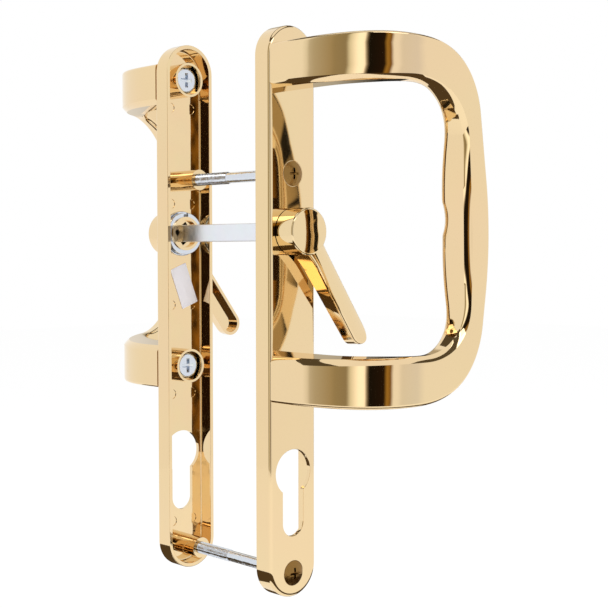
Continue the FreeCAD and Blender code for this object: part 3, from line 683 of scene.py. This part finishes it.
class HANDLE_OT_backplates(bpy.types.Operator):
    """The two hollow backplates"""
    bl_idname = "handle.backplates"
    bl_label = "Backplates"

    def execute(self, context):
        sizes = context.scene.handle_plate
        outer = plate_shell("outer_backplate_piece")
        inner = mirrored(plate_shell("shell"), "inner_backplate_piece")
        bpy.data.objects.remove(bpy.data.objects["shell"], do_unlink=True)
        for bolt in ("upper_through_bolt", "lower_through_bolt"):
            up = centre_z(bolt)
            boss = rod("boss", sizes.boss, spot(0, -sizes.boss_end, up), spot(0, -1.5, up))
            combine(outer, boss, "UNION")
            combine(outer, turned("sink", COUNTERSINK, spot(0, 0, up)), "DIFFERENCE")
            far = Vector((0, RIM - sizes.post_beyond, up)) * MM
            post = rod("post", sizes.post, far, Vector((0, FRONT - 1, up)) * MM)
            combine(inner, post, "UNION")
            bore = rod("bore", sizes.post_bore, far - Vector((0, PAST * MM, 0)),
                       Vector((0, FRONT - sizes.web, up)) * MM)
            combine(inner, bore, "DIFFERENCE")
        ejector_marks(outer, -1)
        ejector_marks(inner, 1)
        finish_plate(outer, "outer_backplate")
        finish_plate(inner, "inner_backplate")
        return {"FINISHED"}


def rounded(corners, step=3.0):
    """An outline of (across, up, radius) corners, each rounded by its radius."""
    points = []
    for index, (x, z, radius) in enumerate(corners):
        corner = Vector((x, z))
        if not radius:
            points.append((x, z))
            continue
        back = (Vector(corners[index - 1][:2]) - corner).normalized()
        ahead = (Vector(corners[(index + 1) % len(corners)][:2]) - corner).normalized()
        half = back.angle(ahead) / 2
        centre = corner + (back + ahead).normalized() * radius / math.sin(half)
        start, end = corner + back * radius / math.tan(half), corner + ahead * radius / math.tan(half)
        first = math.atan2(start.y - centre.y, start.x - centre.x)
        last = math.atan2(end.y - centre.y, end.x - centre.x)
        turn = (last - first + math.pi) % TURN - math.pi
        count = max(1, math.ceil(abs(math.degrees(turn)) / step))
        for i in range(count + 1):
            a = first + turn * i / count
            point = (centre.x + radius * math.cos(a), centre.y + radius * math.sin(a))
            if not points or math.dist(point, points[-1]) > 0.05:
                points.append(point)
    return points


# The D's outer and inner outlines as (across, up, round) corners, and where each one's upper and
# lower corner starts and ends: (across the arm, up the grip).
PULL_OUTER = [
    (-30.0, 66.58, 0), (2.978, 72.51, 78), (38.409, 64.588, 30), (48.4, -2.3, 149),
    (39.622, -59.982, 33), (1.385, -65.204, 135), (-30.0, -63.01, 0),
]
PULL_INNER = [(-30.0, 52.95, 0), (33.4, 54.5, 24), (35.0, -44.2, 19), (-30.0, -47.974, 0)]
OUTER_TURNS = ((18.3, 44.2), (15.2, -35.6))
INNER_TURNS = ((9.2, 30.3), (16.8, -26.0))


class Track:
    """A line through points, found by its length from the start."""

    def __init__(self, points):
        self.points = [Vector(point) for point in points]
        self.marks = [0.0]
        for a, b in zip(self.points, self.points[1:]):
            self.marks.append(self.marks[-1] + (b - a).length)

    def at(self, mark):
        index = min(max(bisect.bisect_right(self.marks, mark) - 1, 0), len(self.points) - 2)
        share = (mark - self.marks[index]) / (self.marks[index + 1] - self.marks[index])
        return self.points[index].lerp(self.points[index + 1], share)

    def reach(self, axis, level):
        """The first mark where the line crosses this level of an axis."""
        for index in range(len(self.points) - 1):
            a, b = self.points[index][axis], self.points[index + 1][axis]
            if a != b and min(a, b) <= level <= max(a, b):
                share = (level - a) / (b - a)
                return self.marks[index] + share * (self.marks[index + 1] - self.marks[index])
        raise ValueError(f"the line does not cross {level}")


def belly_level(sizes, up):
    """How far out the grip's back lies at this height."""
    swell = sizes.bar - sizes.arm
    away = max(up - sizes.belly_top, -sizes.belly_foot - up, 0.0)
    radii = sizes.belly_round + sizes.belly_hollow
    reach = math.sqrt(swell * (2 * radii - swell))
    grip, arm = sizes.standoff - sizes.bar, sizes.standoff - sizes.arm
    if away >= reach:
        return arm
    if away < reach * sizes.belly_round / radii:
        level = grip + sizes.belly_round - math.sqrt(sizes.belly_round ** 2 - away ** 2)
    else:
        level = arm - sizes.belly_hollow + math.sqrt(sizes.belly_hollow ** 2 - (reach - away) ** 2)
    side = up - sizes.waist_rise
    floor = grip + sizes.waist_depth - sizes.waist
    if abs(side) < sizes.waist:
        level = max(level, floor + math.sqrt(sizes.waist ** 2 - side ** 2))
    return level


def half_pull(outline, front, back, bend, level):
    """From a foot along the arm and round the corner: (front mark, its height, back mark, its height)."""
    track = Track(outline)
    front_end, back_end = front.reach(0, bend), back.reach(0, bend)
    stations = []
    for step in range(ARM_STEPS):
        ahead, behind = front_end * step / ARM_STEPS, back_end * step / ARM_STEPS
        front_height = track.at(track.reach(0, front.at(ahead).x)).y
        back_height = track.at(track.reach(0, back.at(behind).x)).y
        stations.append((ahead, front_height, behind, back_height))
    start, end = track.reach(0, bend), track.reach(1, level)
    for step in range(CORNER_STEPS):
        place = track.at(start + (end - start) * step / CORNER_STEPS)
        stations.append((front.reach(0, place.x), place.y, back.reach(0, place.x), place.y))
    return stations


def whole_side(points, front, back, top, foot):
    """All stations of the D's outer or inner side; top and foot hold where each corner starts and ends."""
    upper = half_pull(points, front, back, *top)
    lower = half_pull(points[::-1], front, back, *foot)
    track = Track(points)
    grip = []
    for step in range(GRIP_STEPS + 1):
        height = top[1] + (foot[1] - top[1]) * step / GRIP_STEPS
        across = track.at(track.reach(1, height)).x
        grip.append((front.reach(0, across), height, back.reach(0, across), height))
    return upper + grip + lower[::-1]


def softened(corner, before, after, radius, count, fullness=1.0):
    """A corner of a section, rounded between its neighbours; a low fullness leaves it nearly flat."""
    start = corner + (before - corner).normalized() * radius
    end = corner + (after - corner).normalized() * radius
    pull = ((start + end) / 2).lerp(corner, fullness)
    shares = [step / count for step in range(count + 1)]
    return [start * (1 - t) ** 2 + pull * 2 * t * (1 - t) + end * t ** 2 for t in shares]


def pull_sections(sizes):
    """Closed sections through the pull, from the upper foot round the D to the lower foot."""
    near, level = -sizes.near, sizes.standoff
    bend = arc((near + sizes.bend, level - sizes.bend), sizes.bend, 180, 90, 0.75)
    front = Track([(near, 0.0)] + bend + [(90, level)])
    arm_back = level - sizes.arm
    back = Track(rounded([(sizes.far, 0, 0), (sizes.far, sizes.slope_start, sizes.foot_round),
                          (sizes.slope_end, arm_back, sizes.back_round), (90, arm_back, 0)], 1.5))
    outer = whole_side(rounded(PULL_OUTER, 1.5), front, back, *OUTER_TURNS)
    inner = whole_side(rounded(PULL_INNER, 1.5), front, back, *INNER_TURNS)

    def ahead(one, other, share):
        across, out = front.at(one[0] + (other[0] - one[0]) * share)
        return spot(across, out, one[1] + (other[1] - one[1]) * share)

    def behind(one, other, share):
        across, out = back.at(one[2] + (other[2] - one[2]) * share)
        up = one[3] + (other[3] - one[3]) * share
        if out > arm_back - 1:
            out = min(out, belly_level(sizes, up))
        return spot(across, out, up)

    sections = []
    for one, other in zip(outer, inner):
        corners = [ahead(one, other, 0), ahead(one, other, 1), behind(one, other, 1), behind(one, other, 0)]
        section = softened(corners[0], corners[3], corners[1], sizes.edge * MM, 5)
        section += [ahead(one, other, share) for share in (0.25, 0.4, 0.55, 0.7)]
        section += softened(corners[1], corners[0], corners[2], sizes.chamfer * MM, 4, 0.16)
        section += softened(corners[2], corners[1], corners[3], sizes.inner_edge * MM, 7)
        section += softened(corners[3], corners[2], corners[0], sizes.inner_edge * MM, 7)
        sections.append(section)
    return sections


def lofted(name, sections):
    """A skin through closed sections, with both ends filled."""
    loops = []
    for section in sections:
        loop = drawn("section", section, None, close=False)
        edit_all(loop, "VERT")
        bpy.ops.mesh.edge_face_add()
        bpy.ops.mesh.delete(type="ONLY_FACE")
        rest()
        loops.append(loop)
    for loop in loops:
        loop.select_set(True)
    bpy.context.view_layer.objects.active = loops[0]
    bpy.ops.object.join()
    piece = bpy.context.object
    piece.name = name
    edit_all(piece)
    bpy.ops.mesh.bridge_edge_loops()
    bpy.ops.mesh.select_all(action="SELECT")
    bpy.ops.mesh.fill_holes(sides=0)
    bpy.ops.mesh.select_all(action="SELECT")
    bpy.ops.mesh.normals_make_consistent(inside=False)
    rest()
    return piece


def pull_piece(name):
    return lofted(name, pull_sections(bpy.context.scene.handle_pull))


class HANDLE_OT_pulls(bpy.types.Operator):
    """The two bent pulls"""
    bl_idname = "handle.pulls"
    bl_label = "Pulls"

    def execute(self, context):
        outer = pull_piece("outer_pull_piece")
        inner = mirrored(outer, "inner_pull_piece")
        for piece, node in ((outer, "outer_pull"), (inner, "inner_pull")):
            polish(piece)
            dress(piece, node, "fixed_set", "polished_gold", polished_gold())
        return {"FINISHED"}


# The arm's root inside the boss, its front's width as a share of its back's, and its front's
# drop below the boss's face.
ROOT_INSET = 0.8
ARM_DRAFT = 0.88
FRONT_DROP = 0.35
# The retaining ring's groove in the neck, as (radius, outwards) corners.
GROOVE = [(6.3, -3.65), (8.5, -3.65), (8.5, -4.95), (6.3, -4.95)]


def arm_half(sizes, down):
    """Half the arm's width this far below the boss's axis."""
    root = sizes.boss - ROOT_INSET
    across = sizes.tip + sizes.blend
    drop = math.sqrt((root + sizes.blend) ** 2 - across ** 2)
    if down > sizes.reach:
        return math.sqrt(sizes.tip ** 2 - (down - sizes.reach) ** 2)
    if down > drop:
        return sizes.tip
    if down < root * drop / (root + sizes.blend):
        return math.sqrt(root ** 2 - down ** 2)
    return across - math.sqrt(sizes.blend ** 2 - (drop - down) ** 2)


def arm_section(sizes, down):
    """A closed section of the arm, its front bowed about the ridge."""
    half = arm_half(sizes, down)
    ahead = half * ARM_DRAFT
    fall = (sizes.height - sizes.tip_height) / (sizes.reach + sizes.tip)
    edge = sizes.edge * MM * min(1, half / sizes.tip)

    def front(x):
        bow = (x - sizes.ridge * half / sizes.tip) ** 2 / (2 * sizes.crown)
        return spot(x, sizes.height - FRONT_DROP - down * fall - bow, -down)

    left, right = spot(-half, sizes.back, -down), spot(half, sizes.back, -down)
    bowed = [front(ahead * share) for share in (0.55, 0.3, 0.0, -0.2, -0.4, -0.6)]
    section = [left, right] + softened(front(ahead), right, bowed[0], edge, 4)
    return section + bowed + softened(front(-ahead), bowed[-1], left, edge, 4)


def lever_piece(name):
    sizes = bpy.context.scene.handle_lever
    downs = [1 + (sizes.reach - 1) * step / LEVER_STEPS for step in range(LEVER_STEPS)]
    downs += [sizes.reach + sizes.tip * math.sin(math.radians(turn)) for turn in range(0, 85, 6)]
    piece = lofted(name, [arm_section(sizes, down) for down in downs])
    dome = arc((0, sizes.height - sizes.dome), sizes.dome, 90, 90 - DOME_SPAN, 1)
    rim, level = dome[-1]
    profile = [(0, sizes.height)] + dome[1:]
    profile += arc((rim, level - sizes.boss + rim), sizes.boss - rim, 80, 0, 15)
    profile += [(sizes.boss, sizes.gap), (0, sizes.gap)]
    combine(piece, turned("boss", profile, spot(0, 0, 0), steps=128), "UNION")
    inside = sizes.tip - sizes.lip
    ends = arc((0, -sizes.boss - sizes.tip), inside, 0, 180) + arc((0, -sizes.reach), inside, 180, 360)
    hollow = [spot(x, sizes.back - PAST, z) for x, z in ends]
    combine(piece, drawn("hollow", hollow, OUTWARDS * (sizes.hollow + PAST) * MM), "DIFFERENCE")
    swung(piece, sizes.rest)
    neck = rod("neck", sizes.neck, spot(0, -sizes.neck_end, 0), spot(0, sizes.gap + 1, 0))
    before = -sizes.neck_end - PAST
    floor = sizes.recess_depth - sizes.neck_end
    recess = rod("recess", sizes.recess, spot(0, before, 0), spot(0, floor, 0))
    combine(neck, recess, "DIFFERENCE")
    combine(neck, turned("groove", GROOVE, spot(0, 0, 0), closed=True), "DIFFERENCE")
    combine(piece, neck, "UNION")
    hole = [spot(x * sizes.square, before, z * sizes.square) for x, z in SQUARE]
    square = drawn("hole", hole, OUTWARDS * (sizes.square_end - before) * MM)
    return combine(piece, swung(square, sizes.rest), "DIFFERENCE")


class HANDLE_OT_levers(bpy.types.Operator):
    """The two turning levers"""
    bl_idname = "handle.levers"
    bl_label = "Levers"

    def execute(self, context):
        outer = lever_piece("outer_lever_piece")
        inner = mirrored(outer, "inner_lever_piece")
        for piece, node in ((outer, "outer_lever"), (inner, "inner_lever")):
            polish(piece)
            dress(piece, node, "lever_set", "polished_gold", polished_gold())
        return {"FINISHED"}


# The width of a cross recess at its bottom, as a share of its width at the top.
RECESS_TAPER = 0.45


def cut_recess(piece, place, inwards, span, blade):
    """A cross recess, narrower at its bottom."""
    sizes = bpy.context.scene.handle_fasteners
    for across, up in ((span, blade), (blade, span)):
        start = place - inwards * 0.5 * MM
        corners = [start + Vector((x * across * MM, 0, z * up * MM)) for x, z in SQUARE]
        tool = drawn("recess", corners, inwards * (sizes.deep + 0.5) * MM)
        shape = edit(tool, "FACE")
        deep = max(shape.faces, key=lambda item: item.calc_center_median().dot(inwards))
        deep.select_set(True)
        bmesh.update_edit_mesh(tool.data)
        bpy.ops.transform.resize(value=(RECESS_TAPER, 1, RECESS_TAPER), center_override=place)
        rest()
        combine(piece, tool, "DIFFERENCE")


def thread_profile(start, end, crest, groove, pitch):
    """The ridges of a thread along its axis, as (radius, outwards) from start to end."""
    way = 1 if end > start else -1
    points = []
    for turn in range(int(abs(end - start) / pitch)):
        for radius, share in ((crest - groove, 0), (crest - groove, 0.12), (crest, 0.5), (crest, 0.62)):
            points.append((radius, start + way * (turn + share) * pitch))
    return points


class HANDLE_OT_bolts(bpy.types.Operator):
    """The through bolts with their brass heads"""
    bl_idname = "handle.bolts"
    bl_label = "Through bolts"

    def execute(self, context):
        sizes = context.scene.handle_fasteners
        ball = (sizes.head ** 2 + sizes.dome ** 2) / (2 * sizes.dome)
        side = math.degrees(math.asin(sizes.head / ball))
        dome = arc((0, sizes.dome - ball), ball, 90, 90 - side, 4)
        profile = [(0, sizes.dome)] + dome[1:] + [
            (sizes.head, -0.25), (sizes.shank, -sizes.cone), (sizes.shank, 0.4 - sizes.plain)]
        profile += thread_profile(-sizes.plain, 1 - sizes.bolt, sizes.thread, sizes.groove, sizes.pitch)
        profile += [(sizes.thread, 0.8 - sizes.bolt), (sizes.thread - 0.8, -sizes.bolt), (0, -sizes.bolt)]
        for node in ("upper_through_bolt", "lower_through_bolt"):
            place = spot(0, 0, centre_z(node))
            piece = turned(node + "_piece", profile, place, steps=64)
            cut_recess(piece, place - Vector((0, sizes.dome * MM, 0)), -OUTWARDS, sizes.span, sizes.blade)
            polish(piece)
            dress(piece, node, "fixed_set", "bright_zinc", bright_zinc(), bolt_brass())
            behind = (sizes.cone - FRONT) * MM
            for face in piece.data.polygons:
                face.material_index = 1 if face.center.y < behind else 0
        return {"FINISHED"}


class HANDLE_OT_pull_screws(bpy.types.Operator):
    """The four screws that hold the pulls from inside the backplates"""
    bl_idname = "handle.pull_screws"
    bl_label = "Pull screws"

    def execute(self, context):
        sizes = context.scene.handle_fasteners
        top = -sizes.seat - sizes.head_height
        centre = (sizes.screw_head - sizes.head_round, top + sizes.head_round)
        profile = [(0, top)] + arc(centre, sizes.head_round, 270, 360, 10)
        profile += [(sizes.screw_head, -sizes.seat), (sizes.thread, -sizes.seat)]
        profile += thread_profile(-2.0, sizes.reach - 1, sizes.thread, sizes.groove, sizes.pitch)
        profile += [(sizes.thread, sizes.reach - 0.8), (sizes.thread - 0.8, sizes.reach), (0, sizes.reach)]
        for level in ("upper", "lower"):
            up = centre_z(f"outer_{level}_pull_screw")
            outer = turned(f"outer_{level}_screw_piece", profile, spot(0, 0, up), steps=64)
            cut_recess(outer, spot(0, top, up), OUTWARDS, 1.25 * sizes.span, 1.6 * sizes.blade)
            inner = mirrored(outer, f"inner_{level}_screw_piece")
            for piece, side in ((outer, "outer"), (inner, "inner")):
                polish(piece)
                dress(piece, f"{side}_{level}_pull_screw", "fixed_set", "bright_zinc", bright_zinc())
        return {"FINISHED"}


# What sits on a lever's neck behind the backplate's front, as (radius, outwards) corners.
NECK_PROFILES = {
    "washer": [(7.1, -1.85), (7.15, -1.8), (9.15, -1.8), (9.3, -1.95), (9.3, -2.55), (9.15, -2.7),
               (7.15, -2.7), (7.1, -2.65)],
    "spring": [(7.1, -3.1), (8.5, -2.7), (8.5, -3.2), (7.1, -3.6)],
    "ring": [(6.36, -3.7), (8.6, -3.7), (8.75, -3.85), (8.75, -4.75), (8.6, -4.9), (6.36, -4.9)],
}
# The gap in the retaining ring, seen from the front.
RING_GAP = ((-1.4, 4), (1.4, 4), (1.4, 12), (-1.4, 12))


class HANDLE_OT_neck_rings(bpy.types.Operator):
    """Washer, disc spring and retaining ring on each lever's neck"""
    bl_idname = "handle.neck_rings"
    bl_label = "Washers, springs and rings"

    def execute(self, context):
        for kind, profile in NECK_PROFILES.items():
            outer = turned(f"outer_{kind}_piece", profile, spot(0, 0, 0), closed=True)
            if kind == "ring":
                gap = [spot(x, -6, z) for x, z in RING_GAP]
                combine(outer, drawn("gap", gap, OUTWARDS * 4 * MM), "DIFFERENCE")
            inner = mirrored(outer, f"inner_{kind}_piece")
            for piece, side in ((outer, "outer"), (inner, "inner")):
                polish(piece)
                body = "lever_set" if kind == "ring" else "fixed_set"
                dress(piece, f"{side}_lever_{kind}", body, "bright_zinc", bright_zinc())
        return {"FINISHED"}


class HANDLE_OT_spindle(bpy.types.Operator):
    """The square spindle"""
    bl_idname = "handle.spindle"
    bl_label = "Spindle"

    def execute(self, context):
        half, end = high("spindle", 0), high("spindle", 1)
        corners = [Vector((x * half, -end, z * half)) * MM for x, z in SQUARE]
        piece = drawn("spindle_piece", corners, Vector((0, 2 * end * MM, 0)))
        bevel(piece, 0.35, 3, lambda a, b: True)
        polish(piece)
        dress(piece, "spindle", "lever_set", "bright_zinc", rolled_zinc())
        return {"FINISHED"}


# Half the label's width and height in mm, and its tilt in degrees.
LABEL_HALF = (4.25, 8.8)
LABEL_TILT = 21


class HANDLE_OT_label(bpy.types.Operator):
    """The blank paper label inside the inner backplate"""
    bl_idname = "handle.label"
    bl_label = "Label"

    def execute(self, context):
        low_corner, high_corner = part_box("blank_label")
        middle = (Vector(low_corner) + Vector(high_corner)) / 2
        thick = high_corner[1] - low_corner[1]
        width, height = LABEL_HALF
        corners = [middle + Vector((x * width * MM, -thick / 2, z * height * MM)) for x, z in SQUARE]
        piece = drawn("label_piece", corners, Vector((0, thick, 0)))
        swung(piece, math.radians(LABEL_TILT), middle)
        dress(piece, "blank_label", "fixed_set", "white_paper", paper())
        return {"FINISHED"}


class HANDLE_PT_panel(bpy.types.Panel):
    """Sizes, colours and steps of the handle set"""
    bl_label = "Patio door handle"
    bl_idname = "HANDLE_PT_panel"
    bl_space_type = "VIEW_3D"
    bl_region_type = "UI"
    bl_category = "Handle"

    def draw(self, context):
        for step in STEPS:
            self.layout.operator(step.bl_idname)
        for name, group in GROUPS:
            sizes = getattr(context.scene, name)
            for key in group.__annotations__:
                self.layout.prop(sizes, key)


GROUPS = [
    ("handle_plate", HandlePlateSizes),
    ("handle_pull", HandlePullSizes),
    ("handle_lever", HandleLeverSizes),
    ("handle_fasteners", HandleFastenerSizes),
    ("handle_finishes", HandleFinishes),
]
STEPS = [
    HANDLE_OT_stage, HANDLE_OT_backplates, HANDLE_OT_pulls, HANDLE_OT_levers, HANDLE_OT_bolts,
    HANDLE_OT_pull_screws, HANDLE_OT_neck_rings, HANDLE_OT_spindle, HANDLE_OT_label,
]


def register():
    for name, group in GROUPS:
        bpy.utils.register_class(group)
        setattr(bpy.types.Scene, name, bpy.props.PointerProperty(type=group))
    for item in (*STEPS, HANDLE_PT_panel):
        bpy.utils.register_class(item)


def unregister():
    for item in (*STEPS, HANDLE_PT_panel):
        bpy.utils.unregister_class(item)
    for name, group in GROUPS:
        delattr(bpy.types.Scene, name)
        bpy.utils.unregister_class(group)


def main():
    register()
    bpy.ops.handle.stage()
    bpy.ops.handle.backplates()
    bpy.ops.handle.pulls()
    bpy.ops.handle.levers()
    bpy.ops.handle.bolts()
    bpy.ops.handle.pull_screws()
    bpy.ops.handle.neck_rings()
    bpy.ops.handle.spindle()
    bpy.ops.handle.label()


if __name__ == "__main__":
    main()
